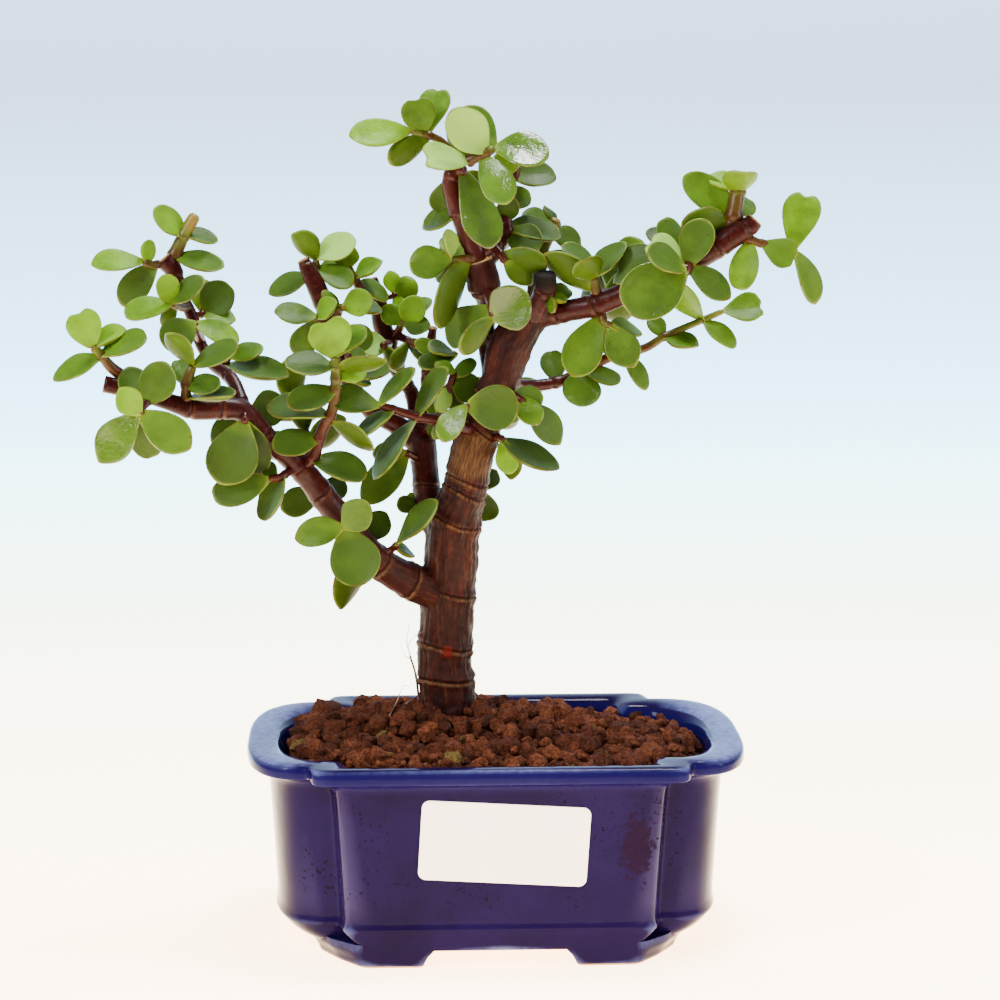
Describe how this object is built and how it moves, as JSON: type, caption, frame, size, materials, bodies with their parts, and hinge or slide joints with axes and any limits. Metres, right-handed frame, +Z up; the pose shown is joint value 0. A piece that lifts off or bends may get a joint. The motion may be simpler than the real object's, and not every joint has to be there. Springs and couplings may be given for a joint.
{
  "type": "dwarf jade bonsai",
  "caption": "Small succulent tree with a forked woody trunk, long side limbs and shoots of rounded fleshy leaves, planted in clay granules in a glazed pot with notched corners and four feet",
  "frame": {"origin": "under the middle of the bounding box of pot and tree together, on the floor", "axes": "+X along the pot's length to the right as seen from the front, +Y to the back, +Z up"},
  "size_m": [0.23, 0.106, 0.2592],
  "materials": {
    "glazed_clay": "glossy cobalt glaze, thin and pale at the edges",
    "mesh_plastic": "matt black moulded mesh",
    "clay_granules": "dry matt baked clay granules, red-brown",
    "label_film": "satin off-white sticker, blank",
    "bark": "smooth thin bark with ring scars, satin",
    "foliage": "smooth waxy leaf skin, bright green, satin to glossy"
  },
  "bodies": {
    "root": {"pot": "glazed_clay", "drain_mesh_left": "mesh_plastic", "drain_mesh_right": "mesh_plastic", "soil": "clay_granules", "label": "label_film", "trunk_and_branches": "bark", "shoot_apex_stem": "foliage", "shoot_apex_left": "foliage", "shoot_apex_crown": "foliage", "shoot_second_leader": "foliage", "shoot_apex_left_low": "foliage", "shoot_leader_front": "foliage", "shoot_leader_right": "foliage", "shoot_back_right_stub": "foliage", "shoot_right_upright": "foliage", "shoot_right_fork": "foliage", "shoot_right_hanging": "foliage", "shoot_right_middle": "foliage", "shoot_right_behind": "foliage", "shoot_right_top": "foliage", "shoot_right_tip": "foliage", "shoot_low_right": "foliage", "shoot_trunk_right": "foliage", "shoot_trunk_right_low": "foliage", "shoot_trunk_back_low": "foliage", "shoot_trunk_front": "foliage", "shoot_red_side": "foliage", "shoot_front_upright": "foliage", "shoot_left_small": "foliage", "shoot_left_behind": "foliage", "shoot_kink": "foliage", "shoot_kink_back": "foliage", "shoot_low_left_round": "foliage", "shoot_low_left_back": "foliage", "shoot_left_joint": "foliage", "shoot_second_trunk_left": "foliage", "shoot_second_trunk_low": "foliage", "shoot_between_trunks": "foliage", "shoot_mid_right_high": "foliage", "shoot_mid_right_low": "foliage", "shoot_mid_side_top": "foliage", "shoot_mid_pale": "foliage", "shoot_mid_left_top": "foliage", "shoot_mid_left_second": "foliage", "shoot_mid_left_middle": "foliage", "shoot_mid_left_front": "foliage", "shoot_mid_left_low": "foliage", "shoot_left_top_cut": "foliage", "shoot_left_top_side": "foliage", "shoot_left_mid_front": "foliage", "shoot_left_mid_back": "foliage", "shoot_left_round": "foliage", "shoot_left_low_pale": "foliage", "shoot_left_upright": "foliage", "shoot_left_end": "foliage", "shoot_left_end_low": "foliage", "shoot_back_apex": "foliage", "shoot_back_right": "foliage", "shoot_back_left": "foliage", "shoot_back_middle": "foliage"}
  },
  "joints": []
}
